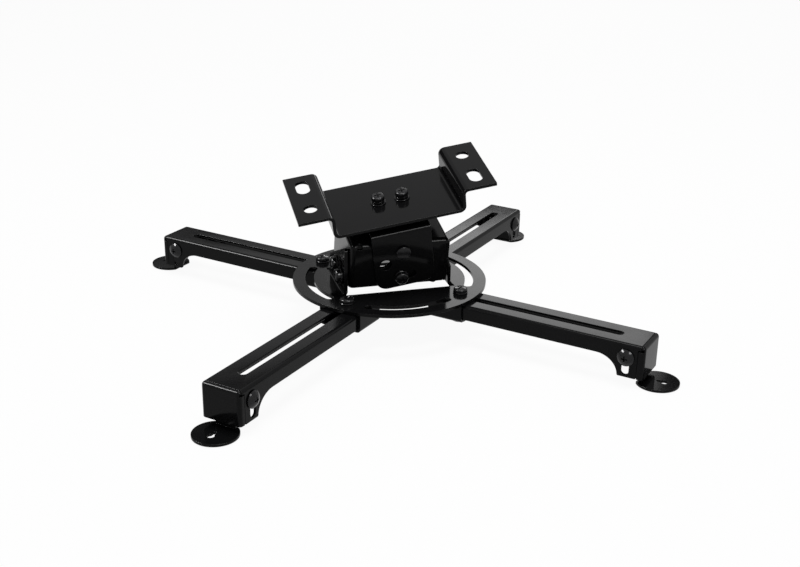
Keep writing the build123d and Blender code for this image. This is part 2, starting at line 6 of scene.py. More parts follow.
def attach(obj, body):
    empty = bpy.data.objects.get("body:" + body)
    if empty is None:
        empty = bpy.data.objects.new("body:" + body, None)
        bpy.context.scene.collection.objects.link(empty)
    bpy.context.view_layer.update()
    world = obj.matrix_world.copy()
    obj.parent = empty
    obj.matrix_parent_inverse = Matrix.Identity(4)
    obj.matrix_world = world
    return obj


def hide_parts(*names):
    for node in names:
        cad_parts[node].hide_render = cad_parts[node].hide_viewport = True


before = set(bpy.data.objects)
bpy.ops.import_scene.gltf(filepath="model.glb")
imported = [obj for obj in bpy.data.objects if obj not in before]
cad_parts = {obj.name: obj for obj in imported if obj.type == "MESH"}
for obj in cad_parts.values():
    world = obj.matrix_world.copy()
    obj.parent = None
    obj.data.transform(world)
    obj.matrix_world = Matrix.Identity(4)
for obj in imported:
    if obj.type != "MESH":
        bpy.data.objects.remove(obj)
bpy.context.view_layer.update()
scene = bpy.context.scene
scene.view_settings.view_transform = "Standard"
mm = 0.001                       # the pieces' sizes are in millimetres, the studio's in metres
mergeGap = 0.002 * mm            # corners nearer than this become one
legs = ("fr", "rr", "rl", "fl")  # front right first, then round the plate
black, white = (0, 0, 0, 1), (1, 1, 1, 1)
print("frame loaded:", len(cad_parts), "nodes")


class ShadeValue:
    def __init__(self, tree, socket):
        self.tree = tree
        self.socket = socket

    def combine(self, operation, first, second):
        return self.tree.node("ShaderNodeMath", {"operation": operation}, {0: first, 1: second})["Value"]

    def __add__(self, other):
        return self.combine("ADD", self, other)

    __radd__ = __add__

    def __sub__(self, other):
        return self.combine("SUBTRACT", self, other)

    def __rsub__(self, other):
        return self.combine("SUBTRACT", other, self)

    def __mul__(self, other):
        return self.combine("MULTIPLY", self, other)

    __rmul__ = __mul__


class ShadeTree:
    def __init__(self, nodeTree):
        self.nodeTree = nodeTree
        self.nodeTree.nodes.clear()

    # one node: its type, its settings, then what goes into its sockets
    def node(self, kind, settings=None, inputs=None):
        made = self.nodeTree.nodes.new(kind)
        for name, value in (settings or {}).items():
            if name == "stops":
                ramp = made.color_ramp
                while len(ramp.elements) < len(value):
                    ramp.elements.new(0.5)
                for element, (place, colour) in zip(ramp.elements, value):
                    element.position = place
                    element.color = colour
            else:
                setattr(made, name, value)
        for name, value in (inputs or {}).items():
            socket = made.inputs[name]
            if isinstance(value, ShadeValue):
                self.nodeTree.links.new(value.socket, socket)
            else:
                socket.default_value = value
        return {out.name: ShadeValue(self, out) for out in made.outputs if out.enabled}


def newMaterial(name):
    material = bpy.data.materials.new(name)
    material.use_nodes = True
    return material, ShadeTree(material.node_tree)


# noise patterns on the piece's own coordinates, one for each plan
def noises(tree, *plans):
    spot = tree.node("ShaderNodeTexCoord")["Object"]
    return [tree.node("ShaderNodeTexNoise", {}, {"Vector": spot, **plan})["Fac"] for plan in plans]


# satin black powder coat on all the folded sheet
sheetCoat = {
    "dark": (0.0024, 0.0024, 0.0026, 1),
    "pale": (0.0060, 0.0060, 0.0064, 1),
    "roughness": 0.10,
    "ior": 1.16,
    "peel": {"Scale": 620, "Detail": 2.0, "Roughness": 0.45},  # orange peel
    "speck": {"Scale": 2600, "Detail": 3.0, "Roughness": 0.6},
    "cloud": {"Scale": 26.0, "Detail": 5.0, "Roughness": 0.62, "Distortion": 0.6},
    "smear": (0.42, 0.72),       # cloud levels at which a handling mark begins and is full
    "smearGloss": 0.06,          # how far the marks open the gloss
    "speckGloss": 0.08,
    "speckTone": 0.3,
    "speckBump": 0.2,
    "bump": {"Strength": 0.5, "Distance": 0.012 * mm},
}


def makeSheetCoat(plan):
    material, tree = newMaterial("sheetCoat")
    peel, speck, cloud = noises(tree, plan["peel"], plan["speck"], plan["cloud"])
    begin, full = plan["smear"]
    smear = tree.node("ShaderNodeValToRGB", {
        "stops": [(begin, black), (full, white)]}, {"Fac": cloud})["Color"]
    mottle = cloud * (1 - plan["speckTone"]) + speck * plan["speckTone"]
    tone = tree.node("ShaderNodeMix", {"data_type": "RGBA"}, {
        "Factor": mottle, "A": plan["dark"], "B": plan["pale"]})["Result"]
    relief = peel + speck * plan["speckBump"]
    bump = tree.node("ShaderNodeBump", {}, {"Height": relief, **plan["bump"]})["Normal"]
    gloss = smear * plan["smearGloss"] + (speck - 0.5) * plan["speckGloss"] + plan["roughness"]
    shader = tree.node("ShaderNodeBsdfPrincipled", {}, {
        "Base Color": tone, "Roughness": gloss, "Normal": bump, "IOR": plan["ior"]})
    tree.node("ShaderNodeOutputMaterial", {}, {"Surface": shader["BSDF"]})
    return material


# black zinc on screws, washers and nuts
blackZinc = {
    "dark": (0.004, 0.004, 0.0045, 1),
    "pale": (0.012, 0.012, 0.013, 1),
    "roughness": 0.12,
    "metal": 0.1,
    "ior": 1.3,
    "grain": {"Scale": 1500, "Detail": 3.0, "Roughness": 0.55},
    "cloud": {"Scale": 180.0, "Detail": 3.0, "Roughness": 0.5},
    "grainTone": 0.4,
    "grainGloss": 0.06,
    "cloudGloss": 0.16,
    "bump": {"Strength": 0.4, "Distance": 0.02 * mm},
}


def makeBlackZinc(plan):
    material, tree = newMaterial("blackZinc")
    grain, cloud = noises(tree, plan["grain"], plan["cloud"])
    mottle = cloud * (1 - plan["grainTone"]) + grain * plan["grainTone"]
    tone = tree.node("ShaderNodeMix", {"data_type": "RGBA"}, {
        "Factor": mottle, "A": plan["dark"], "B": plan["pale"]})["Result"]
    bump = tree.node("ShaderNodeBump", {}, {"Height": grain, **plan["bump"]})["Normal"]
    gloss = (cloud - 0.5) * plan["cloudGloss"] + grain * plan["grainGloss"] + plan["roughness"]
    shader = tree.node("ShaderNodeBsdfPrincipled", {}, {
        "Base Color": tone, "Metallic": plan["metal"], "Roughness": gloss, "Normal": bump,
        "IOR": plan["ior"]})
    tree.node("ShaderNodeOutputMaterial", {}, {"Surface": shader["BSDF"]})
    return material


coatMaterial = makeSheetCoat(sheetCoat)
zincMaterial = makeBlackZinc(blackZinc)
print("materials made")


def shift(x, y, z):
    return Matrix.Translation((x * mm, y * mm, z * mm))


def turn(axis, degrees):
    return Matrix.Rotation(math.radians(degrees), 4, axis)


def endEdit():
    bpy.ops.object.mode_set(mode="OBJECT")


def deselectAll():
    if bpy.context.mode != "OBJECT":
        endEdit()
    bpy.ops.object.select_all(action="DESELECT")


def makeActive(piece):
    deselectAll()
    piece.select_set(True)
    bpy.context.view_layer.objects.active = piece


def editAll(piece):
    makeActive(piece)
    bpy.ops.object.mode_set(mode="EDIT")
    bpy.ops.mesh.select_all(action="SELECT")


# edit mode with only those corners or faces selected that pass the test
def editWhere(piece, kind, test):
    makeActive(piece)
    bpy.ops.object.mode_set(mode="EDIT")
    bpy.ops.mesh.select_mode(type=kind)
    bpy.ops.mesh.select_all(action="DESELECT")
    endEdit()
    for element in piece.data.polygons if kind == "FACE" else piece.data.vertices:
        element.select = test(element)
    bpy.ops.object.mode_set(mode="EDIT")


def applyModifier(piece, kind, settings):
    makeActive(piece)
    modifier = piece.modifiers.new(kind.title(), kind)
    for name, value in settings.items():
        setattr(modifier, name, value)
    bpy.ops.object.modifier_apply(modifier=modifier.name)


def smoothShade(piece, angle):
    makeActive(piece)
    bpy.ops.object.shade_smooth_by_angle(angle=math.radians(angle))


def dropPiece(piece):
    mesh = piece.data
    bpy.data.objects.remove(piece)
    bpy.data.meshes.remove(mesh)


def combine(piece, tool, operation):
    applyModifier(piece, "BOOLEAN", {"operation": operation, "object": tool, "solver": "EXACT"})
    dropPiece(tool)


def makeBlock(low, high):
    deselectAll()
    bpy.ops.mesh.primitive_cube_add(size=1, location=[(a + b) / 2 * mm for a, b in zip(low, high)])
    block = bpy.context.object
    block.scale = [(b - a) * mm for a, b in zip(low, high)]
    bpy.ops.object.transform_apply(location=True, rotation=False, scale=True)
    return block


def makeRod(centre, radius, depth, steps, tilt=0.0):
    deselectAll()
    bpy.ops.mesh.primitive_cylinder_add(
        vertices=steps, radius=radius * mm, depth=depth * mm, location=[value * mm for value in centre],
        rotation=(math.radians(tilt), 0, 0))
    rod = bpy.context.object
    bpy.ops.object.transform_apply(location=True, rotation=True, scale=False)
    return rod


def settle(piece, body, slot, material, *nodes):
    piece.data.materials.clear()
    piece.data.materials.append(material)
    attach(piece, body)
    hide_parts(*nodes)


# folded sheet: the solids' own forms, with every cut edge broken as after tumbling and coating
sheetEdges = {
    "base_plate": {
        "body": "base", "round": 0.15, "rim": {"trim": 74.3, "full": 75.0, "band": 0.3, "steps": 192}},
    "tilt_tray": {"body": "tray", "round": 0.22},
    "saddle": {"body": "ceiling", "round": 0.35},
    "pan_spacer": {"body": "ceiling", "round": 0.4},
    "ceiling_bracket": {"body": "ceiling", "round": 0.4},
}
for leg in legs:
    for kind, edge in (("sleeve", 0.3), ("arm", 0.35)):
        sheetEdges[kind + "_" + leg] = {"body": kind + "_" + leg, "round": edge}
sheetFinish = {"flat": 0.4, "bend": 38, "smooth": 50, "segments": 2}  # angles in degrees
trimDepth = 200  # past the plate's ears, above and below


# the round plate is trimmed and its rim drawn out again square, so that it takes an even bevel
def squareRim(sheet, rim):
    combine(sheet, makeRod((0, 0, 0), rim["trim"], trimDepth, rim["steps"]), "INTERSECT")
    editWhere(sheet, "VERT", lambda corner: corner.co.xy.length > (rim["trim"] - rim["band"]) * mm)
    growth = rim["full"] / rim["trim"]
    bpy.ops.transform.resize(value=(growth, growth, 1), center_override=(0, 0, 0))
    endEdit()


def finishSheet(sheet, edge):
    editAll(sheet)
    bpy.ops.mesh.remove_doubles(threshold=mergeGap)
    bpy.ops.mesh.dissolve_limited(angle_limit=math.radians(sheetFinish["flat"]))
    endEdit()
    applyModifier(sheet, "BEVEL", {
        "width": edge * mm, "segments": sheetFinish["segments"],
        "limit_method": "ANGLE", "angle_limit": math.radians(sheetFinish["bend"]),
        "use_clamp_overlap": False, "miter_outer": "MITER_ARC"})
    smoothShade(sheet, sheetFinish["smooth"])
    applyModifier(sheet, "WEIGHTED_NORMAL", {"mode": "FACE_AREA", "weight": 100, "keep_sharp": True})


def softenSheet(node, plan):
    sheet = bpy.data.objects.new(node + "_sheet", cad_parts[node].data.copy())
    scene.collection.objects.link(sheet)
    makeActive(sheet)
    bpy.ops.mesh.customdata_custom_splitnormals_clear()
    editAll(sheet)
    bpy.ops.mesh.remove_doubles(threshold=mergeGap)
    endEdit()
    if "rim" in plan:
        squareRim(sheet, plan["rim"])
    finishSheet(sheet, plan["round"])
    settle(sheet, plan["body"], "black_coat", coatMaterial, node)
    print("sheet", node, len(sheet.data.polygons), "faces")


for node, plan in sheetEdges.items():
    softenSheet(node, plan)


# the foot is modelled once along X: an end plate folded at its top and sides to cap the arm, flanges inside
# the arm, and a round tab that runs in below the plate and hangs on a narrow neck
footPlan = {
    "face": 213.9,
    "seam": 208.85,
    "half": 15.6,
    "sheet": 2.0,
    "low": 6.4,
    "high": 31.8,
    "bend": 2.6,
    "bendSteps": 5,
    "lipFrom": 211.05,
    "notch": {"out": 213.0, "deep": 3.0, "low": 27.8, "high": 29.5},
    "flange": {"in": 190.5, "out": 211.6, "half": 13.3, "low": 15.2, "high": 27.8},
    "joggle": {"in": 209.6, "half": 14.6},  # where the flange steps out to the cap's side
    "screw": {"along": 200.2, "height": 21.4, "radius": 2.5, "steps": 32},
    "neck": {"in": 208.2, "half": 7.6, "low": 0.7, "bridgeHalf": 12.3, "bridgeLow": 15.2, "high": 19.0},
    "tab": {"centre": 220.0, "radius": 15.8, "in": 207.2, "steps": 96},
    "hole": {"centre": 225.0, "radius": 2.5, "steps": 48},
    "key": {"centre": 220.6, "radius": 1.3, "steps": 32},
    "spare": 3.0,                           # how far a cutter reaches past the sheet
    "round": 0.3,
}


# a block to one side of the middle, from a near to a far distance; its corners are (along, height)
def sideBlock(side, near, far, low, high):
    across = sorted((side * near, side * far))
    return makeBlock((low[0], across[0], low[1]), (high[0], across[1], high[1]))


# the folded cap: a block without floor and inner side, its folds rounded, then given the sheet's thickness
def foldCap(plan):
    cap = makeBlock((plan["seam"], -plan["half"], plan["low"]), (plan["face"], plan["half"], plan["high"]))
    editWhere(cap, "FACE", lambda face: face.normal.x < -0.5 or face.normal.z < -0.5)
    bpy.ops.mesh.delete(type="FACE")
    bpy.ops.mesh.select_mode(type="EDGE")
    bpy.ops.mesh.select_all(action="DESELECT")
    bpy.ops.mesh.select_non_manifold()
    bpy.ops.mesh.select_all(action="INVERT")
    bpy.ops.mesh.bevel(offset=plan["bend"] * mm, segments=plan["bendSteps"], affect="EDGES")
    endEdit()
    applyModifier(cap, "SOLIDIFY", {"thickness": plan["sheet"] * mm, "offset": -1, "use_even_offset": True})
    return cap


def makeTab(plan):
    tab, neck, hole, key = plan["tab"], plan["neck"], plan["hole"], plan["key"]
    sheet, spare, reach = plan["sheet"], plan["spare"], tab["radius"]
    disc = makeRod((tab["centre"], 0, sheet / 2), reach, sheet, tab["steps"])
    combine(disc, makeBlock((tab["in"] - reach, -reach, -spare), (tab["in"], reach, spare)), "DIFFERENCE")
    for half, low in ((neck["half"], neck["low"]), (neck["bridgeHalf"], neck["bridgeLow"])):
        combine(disc, makeBlock((neck["in"], -half, low), (neck["in"] + sheet, half, neck["high"])), "UNION")
    combine(disc, makeRod((hole["centre"], 0, 0), hole["radius"], 2 * spare, hole["steps"]), "DIFFERENCE")
    combine(disc, makeBlock(
        (key["centre"], -key["radius"], -spare), (hole["centre"], key["radius"], spare)), "DIFFERENCE")
    combine(disc, makeRod((key["centre"], 0, 0), key["radius"], 2 * spare, key["steps"]), "DIFFERENCE")
    return disc


def makeFoot(plan):
    foot = foldCap(plan)
    half, spare, sheet = plan["half"], plan["spare"], plan["sheet"]
    notch, flange, joggle, screw = plan["notch"], plan["flange"], plan["joggle"], plan["screw"]
    combine(foot, makeBlock(
        (plan["seam"] - spare, -half - spare, notch["low"]),
        (plan["lipFrom"], half + spare, plan["high"] + spare)), "DIFFERENCE")
    for side in (-1, 1):
        combine(foot, sideBlock(
            side, half - notch["deep"], half + spare,
            (plan["lipFrom"] - spare, notch["low"]), (notch["out"], notch["high"])), "DIFFERENCE")
        wing = sideBlock(
            side, flange["half"] - sheet, flange["half"],
            (flange["in"], flange["low"]), (flange["out"], flange["high"]))
        combine(wing, sideBlock(
            side, flange["half"] - sheet, joggle["half"],
            (joggle["in"], flange["low"]), (flange["out"], flange["high"])), "UNION")
        combine(foot, wing, "UNION")
    across = 2 * half + spare
    combine(foot, makeRod(
        (screw["along"], 0, screw["height"]), screw["radius"], across, screw["steps"], 90), "DIFFERENCE")
    combine(foot, makeTab(plan), "UNION")
    finishSheet(foot, plan["round"])
    return foot


# turns the X axis to a leg, in the order of legs
def legTurn(step):
    return turn("Z", 90 * step - 45)


footMaster = makeFoot(footPlan)
for step, leg in enumerate(legs):
    foot = footMaster.copy()
    foot.data = footMaster.data.copy()
    foot.name = "foot_" + leg + "_sheet"
    scene.collection.objects.link(foot)
    foot.data.transform(legTurn(step))
    settle(foot, "foot_" + leg, "black_coat", coatMaterial, "foot_" + leg)
    print("foot", leg, len(foot.data.polygons), "faces")
dropPiece(footMaster)

# where the fasteners sit, in millimetres and degrees, as the solids have them
spotPlan = {
    "pitchHeight": 49.6,
    "tilt": 12.5,
    "rollAcross": 1.2,
    "rollHeight": 74.1,
    "roll": -9.0,
    "rollClampDrop": 21.2,
    "saddleFace": 29.9,
    "earFace": 41.9,
    "lockFace": 42.2,
    "lockReach": 17.0,
    "panTop": 102.4,
    "panReach": 9.2,
    "clampReach": 62.0,
    "plateTop": 34.6,
    "footFace": 15.9,
}


# every place has its Z axis along the fastener, out of the face that its head or washer lies on
def fastenerSpots(plan):
    hingeLine = shift(0, 0, plan["pitchHeight"])
    tilt = hingeLine @ turn("X", plan["tilt"]) @ hingeLine.inverted()
    pinLine = tilt @ shift(plan["rollAcross"], 0, plan["rollHeight"])
    roll = pinLine @ turn("Y", plan["roll"]) @ shift(0, 0, -plan["rollHeight"])
    clampLine = pinLine @ shift(0, 0, -plan["rollClampDrop"])
    half = turn("Z", 180)
    front = shift(0, -plan["saddleFace"], 0) @ turn("X", 90)
    left = shift(-plan["earFace"], 0, 0) @ turn("Y", -90)
    lock = shift(-plan["lockFace"], -plan["lockReach"], plan["pitchHeight"]) @ turn("Y", -90)
    spots = {
        "pan": [roll @ shift(side * plan["panReach"], 0, plan["panTop"]) for side in (-1, 1)],
        "rollPin": [pinLine @ front, pinLine @ half @ front],
        "rollClamp": [clampLine @ front, clampLine @ half @ front],
        "pitch": [hingeLine @ left, hingeLine @ half @ left],
        "lock": [tilt @ lock, tilt @ half @ lock],
        "clamp": [],
    }
    for step, leg in enumerate(legs):
        spots["clamp"].append(legTurn(step) @ shift(plan["clampReach"], 0, plan["plateTop"]))
        footLine = legTurn(step) @ shift(footPlan["screw"]["along"], 0, footPlan["screw"]["height"])
        spots["foot_" + leg] = [
            footLine @ shift(0, side * plan["footFace"], 0) @ turn("X", -90 * side) for side in (-1, 1)]
    return spots


spots = fastenerSpots(spotPlan)


# a chain of edges through points (radius, height), drawn in the XZ plane
def drawProfile(name, points):
    deselectAll()
    bpy.ops.mesh.primitive_plane_add(size=mm)
    piece = bpy.context.object
    piece.name = name
    bpy.ops.object.mode_set(mode="EDIT")
    bpy.ops.mesh.select_mode(type="VERT")
    bpy.ops.mesh.select_all(action="SELECT")
    bpy.ops.mesh.merge(type="CENTER")
    bpy.ops.transform.translate(value=(points[0][0] * mm, 0, points[0][1] * mm))
    for (r0, z0), (r1, z1) in zip(points, points[1:]):
        step = ((r1 - r0) * mm, 0, (z1 - z0) * mm)
        bpy.ops.mesh.extrude_region_move(TRANSFORM_OT_translate={"value": step})
    bpy.ops.mesh.select_all(action="SELECT")
    return piece


def closeShell():
    bpy.ops.mesh.select_all(action="SELECT")
    bpy.ops.mesh.remove_doubles(threshold=mergeGap)
    bpy.ops.mesh.normals_make_consistent(inside=False)
    endEdit()


def turnProfile(name, points, steps=48):
    piece = drawProfile(name, points)
    bpy.ops.mesh.spin(steps=steps, angle=2 * math.pi, center=(0, 0, 0), axis=(0, 0, 1))
    closeShell()
    return piece


def arc(centre, radius, start, end, count):
    angles = [math.radians(start + (end - start) * step / count) for step in range(count + 1)]
    return [(centre[0] + radius * math.cos(a), centre[1] + radius * math.sin(a)) for a in angles]


turnedSmooth = 32  # degrees
masters = {}       # one of each fastener, copied to its places and then dropped

# screws: a turned head with its cross recess, and a threaded shank under it
threads = {"m6": {"radius": 3.0, "pitch": 1.0}, "m5": {"radius": 2.5, "pitch": 0.8}}
threadCut = {"root": 0.87, "steps": 20, "spareTurns": 4, "tuck": 0.6}
headCut = {"edge": 0.25, "domeSteps": 8, "softSteps": 5}
recessCut = {"over": 0.6, "taper": 0.72}
screwPlans = {
    "panScrew": {
        "radius": 5.0, "tall": 4.0, "soft": 1.3, "crown": 0.25, "thread": "m6", "length": 20.7,
        "recess": {"wide": 5.2, "floor": 2.4, "slim": 1.25, "deep": 2.2}},
    "rollScrew": {
        "radius": 4.8, "tall": 3.6, "soft": 1.4, "crown": 0.3, "thread": "m6", "length": 12.8,
        "recess": {"wide": 5.0, "floor": 2.2, "slim": 1.15, "deep": 2.0}},
    "sideScrew": {
        "radius": 5.4, "tall": 4.0, "soft": 1.7, "crown": 0.35, "thread": "m6", "length": 13.7,
        "recess": {"wide": 5.4, "floor": 2.4, "slim": 1.25, "deep": 2.2}},
    "clampScrew": {
        "radius": 5.3, "tall": 3.2, "soft": 1.2, "crown": 0.3, "thread": "m6", "length": 24.2,
        "recess": {"wide": 5.4, "floor": 2.4, "slim": 1.25, "deep": 1.9}},
    "trussScrew": {
        "radius": 6.3, "tall": 3.4, "soft": 0.0, "crown": 2.8, "thread": "m5", "length": 9.6,
        "recess": {"wide": 5.0, "floor": 2.2, "slim": 1.15, "deep": 2.0}},
}


def headProfile(plan):
    radius, tall, soft, crown = plan["radius"], plan["tall"], plan["soft"], plan["crown"]
    edge, flat = headCut["edge"], radius - soft
    domeRadius = (flat * flat + crown * crown) / (2 * crown)
    reach = math.degrees(math.asin(flat / domeRadius))
    dome = arc((0, tall - domeRadius), domeRadius, 90, 90 - reach, headCut["domeSteps"])
    side = arc((flat, tall - crown - soft), soft, 90, 0, headCut["softSteps"])[1:] if soft else []
    return [(0, tall)] + dome[1:] + side + [(radius, edge), (radius - edge, 0), (0, 0)]


# one wing of the cross recess, a slot that narrows towards its floor
def recessWing(recess, top, quarter):
    spread = (recess["wide"] - recess["floor"]) / recess["deep"]
    reach = recess["wide"] + spread * recessCut["over"]
    slim, low, high = recess["slim"], top - recess["deep"], top + recessCut["over"]
    wing = makeBlock((-reach / 2, -slim / 2, low), (reach / 2, slim / 2, high))
    editWhere(wing, "VERT", lambda corner: corner.co.z < top * mm)
    narrowed = (recess["floor"] / reach, recessCut["taper"], 1)
    bpy.ops.transform.resize(value=narrowed, center_override=(0, 0, 0))
    endEdit()
    wing.data.transform(turn("Z", 90 * quarter))
    return wing


# a wound thread with square-cut ends, from just inside the head down to the tail
def windThread(name, thread, length):
    radius, pitch, steps = thread["radius"], thread["pitch"], threadCut["steps"]
    root = radius * threadCut["root"]
    rod = drawProfile(name, [(root, -pitch), (radius, -pitch / 2), (root, 0)])
    bpy.ops.transform.translate(value=(0, 0, -(length + pitch) * mm))
    applyModifier(rod, "SCREW", {
        "angle": 2 * math.pi, "screw_offset": pitch * mm, "steps": steps, "render_steps": steps,
        "iterations": math.ceil(length / pitch) + threadCut["spareTurns"],
        "use_merge_vertices": True, "merge_threshold": mergeGap})
    for height, waste in ((-length, "clear_inner"), (threadCut["tuck"], "clear_outer")):
        editAll(rod)
        bpy.ops.mesh.bisect(plane_co=(0, 0, height * mm), plane_no=(0, 0, 1), use_fill=True, **{waste: True})
    closeShell()
    return rod


def makeScrew(name, plan):
    screw = turnProfile(name, headProfile(plan))
    for quarter in (0, 1):
        combine(screw, recessWing(plan["recess"], plan["tall"], quarter), "DIFFERENCE")
    combine(screw, windThread(name + "Shank", threads[plan["thread"]], plan["length"]), "UNION")
    smoothShade(screw, turnedSmooth)
    return screw


for name, plan in screwPlans.items():
    masters[name] = makeScrew(name, plan)

# flat rings: washers, the spacers at the ears and the rings that hold the roll pins
washerTall = 1.2
ringInner = 3.0
ringPlans = {
    "flatRing": {"outer": 6.6, "tall": washerTall, "soft": 0.18},
    "smallRing": {"outer": 5.8, "tall": washerTall, "soft": 0.18},
    "clampRing": {"outer": 5.5, "tall": washerTall, "soft": 0.3},
    "rollRing": {"outer": 5.3, "tall": washerTall, "soft": 0.18},
    "pinRing": {"outer": 4.1, "tall": 2.0, "soft": 0.18},
    "earRing": {"outer": 6.6, "tall": 0.9, "soft": 0.18},
}


# a ring's section with broken edges
def ringProfile(outer, tall, soft):
    return [
        (ringInner, 0), (outer - soft, 0), (outer, soft), (outer, tall - soft), (outer - soft, tall),
        (ringInner + soft, tall), (ringInner, tall - soft), (ringInner, 0)]


for name, plan in ringPlans.items():
    masters[name] = turnProfile(name, ringProfile(plan["outer"], plan["tall"], plan["soft"]))
    smoothShade(masters[name], turnedSmooth)

# split spring washer, its two ends a little apart
springPlan = {"outer": 4.8, "tall": 1.7, "rise": 0.3, "soft": 0.12, "sweep": 344, "steps": 48}


def makeSpringRing(name, plan):
    ring = drawProfile(name, ringProfile(plan["outer"], plan["tall"] - plan["rise"], plan["soft"]))
    closeShell()
    applyModifier(ring, "SCREW", {
        "angle": math.radians(plan["sweep"]), "screw_offset": plan["rise"] * mm, "iterations": 1,
        "steps": plan["steps"], "render_steps": plan["steps"]})
    editAll(ring)
    bpy.ops.mesh.fill_holes(sides=8)
    closeShell()
    smoothShade(ring, turnedSmooth)
    return ring


masters["springRing"] = makeSpringRing("springRing", springPlan)

# nuts: a prism cut by a turned barrel, which chamfers its corners and bores it
nutPlans = {
    "hexNut": {"sides": 6, "width": 10.0, "tall": 5.0, "bore": 2.7},
    "footNut": {"sides": 6, "width": 8.0, "tall": 4.0, "bore": 2.25},
    "squareNut": {"sides": 4, "width": 11.0, "tall": 5.0, "bore": 2.7},
}
nutCut = {"flat": 0.2, "slope": 0.45, "mouth": 0.5, "over": 0.01, "clear": 0.1, "steps": 60}
nutFinish = {"edge": 0.12, "bend": 28, "smooth": 26}


def makeNut(name, plan):
    sides, tall, bore = plan["sides"], plan["tall"], plan["bore"]
    over, sink = nutCut["over"], nutCut["mouth"]
    reach = plan["width"] / 2 / math.cos(math.pi / sides)
    chamfer = reach - plan["width"] / 2 + nutCut["flat"]
    inner, rise = reach - chamfer, chamfer * nutCut["slope"]
    wide, mouth = reach + nutCut["clear"], bore + sink
    nut = makeRod((0, 0, tall / 2), reach, tall, sides)
    nut.name = name
    nut.data.transform(turn("Z", 180 / sides))
    barrel = turnProfile(name + "Barrel", [
        (mouth, -over), (inner, -over), (wide, rise), (wide, tall - rise), (inner, tall + over),
        (mouth, tall + over), (bore, tall - sink), (bore, sink), (mouth, -over)], nutCut["steps"])
    combine(nut, barrel, "INTERSECT")
    applyModifier(nut, "BEVEL", {
        "width": nutFinish["edge"] * mm, "segments": 1, "limit_method": "ANGLE",
        "angle_limit": math.radians(nutFinish["bend"])})
    smoothShade(nut, nutFinish["smooth"])
    return nut


for name, plan in nutPlans.items():
    masters[name] = makeNut(name, plan)

# roll pin: a low button head on a plain shank
pinPlan = {
    "radius": 5.6, "tall": 1.8, "soft": 0.6, "softSteps": 5, "edge": 0.2,
    "shank": 3.0, "length": 8.6, "tip": 0.4}


def makePin(name, plan):
    radius, tall, soft, edge = plan["radius"], plan["tall"], plan["soft"], plan["edge"]
    shank, length, tip = plan["shank"], plan["length"], plan["tip"]
    button = arc((radius - soft, tall - soft), soft, 90, 0, plan["softSteps"])
    pin = turnProfile(name, [(0, tall)] + button + [
        (radius, edge), (radius - edge, 0),
        (shank, 0), (shank, tip - length), (shank - tip, -length), (0, -length)])
    smoothShade(pin, turnedSmooth)
    return pin


masters["rollPin"] = makePin("rollPin", pinPlan)
print("fasteners modelled:", len(masters))

# how far below the face the far side of each nut or ring lies
depths = {
    "panNut": 16.8, "pinRing": 7.6, "rollNut": 10.6, "earRing": 3.4, "sideNut": 11.5, "clampNut": 22.0,
    "footNut": 8.6}
# each fastener: what is copied, its node, the body it rides on, its places and its height over the face there
fits = [
    ("smallRing", "pan_flat_washers", "ceiling", "pan", 0),
    ("springRing", "pan_spring_washers", "ceiling", "pan", washerTall),
    ("panScrew", "pan_screws", "ceiling", "pan", washerTall + springPlan["tall"]),
    ("hexNut", "pan_nuts", "ceiling", "pan", -depths["panNut"]),
    ("rollPin", "roll_pins", "tray", "rollPin", 0),
    ("pinRing", "roll_pin_rings", "tray", "rollPin", -depths["pinRing"]),
    ("rollRing", "roll_washers", "tray", "rollClamp", 0),
    ("rollScrew", "roll_screws", "tray", "rollClamp", washerTall),
    ("hexNut", "roll_nuts", "tray", "rollClamp", -depths["rollNut"]),
    ("flatRing", "pitch_washers", "base", "pitch", 0),
    ("sideScrew", "pitch_bolts", "base", "pitch", washerTall),
    ("earRing", "pitch_spacers", "base", "pitch", -depths["earRing"]),
    ("hexNut", "pitch_nuts", "base", "pitch", -depths["sideNut"]),
    ("flatRing", "lock_washers", "tray", "lock", 0),
    ("sideScrew", "lock_screws", "tray", "lock", washerTall),
    ("hexNut", "lock_nuts", "tray", "lock", -depths["sideNut"]),
    ("clampRing", "clamp_washers", "base", "clamp", 0),
    ("clampScrew", "clamp_screws", "base", "clamp", washerTall),
    ("squareNut", "clamp_nuts", "base", "clamp", -depths["clampNut"]),
]
for leg in legs:
    fits.append(("trussScrew", "foot_screws_" + leg, "foot_" + leg, "foot_" + leg, 0))
    fits.append(("footNut", "foot_nuts_" + leg, "foot_" + leg, "foot_" + leg, -depths["footNut"]))


# copies of one fastener at each of its places, as one piece that stands for its node
def fit(master, node, body, places, height):
    copies = []
    for place in places:
        copied = bpy.data.objects.new(node + "_steel", master.data.copy())
        copied.data.transform(place @ shift(0, 0, height))
        scene.collection.objects.link(copied)
        copies.append(copied)
    makeActive(copies[0])
    for copied in copies[1:]:
        copied.select_set(True)
    bpy.ops.object.join()
    piece = bpy.context.object
    settle(piece, body, "black_fastener", zincMaterial, node)
    print("fastener", node, len(piece.data.polygons), "faces")


for name, node, body, spot, height in fits:
    fit(masters[name], node, body, spots[spot], height)
for master in masters.values():
    dropPiece(master)


# what the camera sees itself, in gloss or through glass
def seenRays(tree):
    path = tree.node("ShaderNodeLightPath")
    return path["Is Camera Ray"] + path["Is Glossy Ray"] + path["Is Transmission Ray"]


# a floor that shows white and keeps the shadow
floorPlan = {"size": 8.0, "low": -0.0006, "colour": (0.86, 0.86, 0.86, 1), "shown": 0.94}


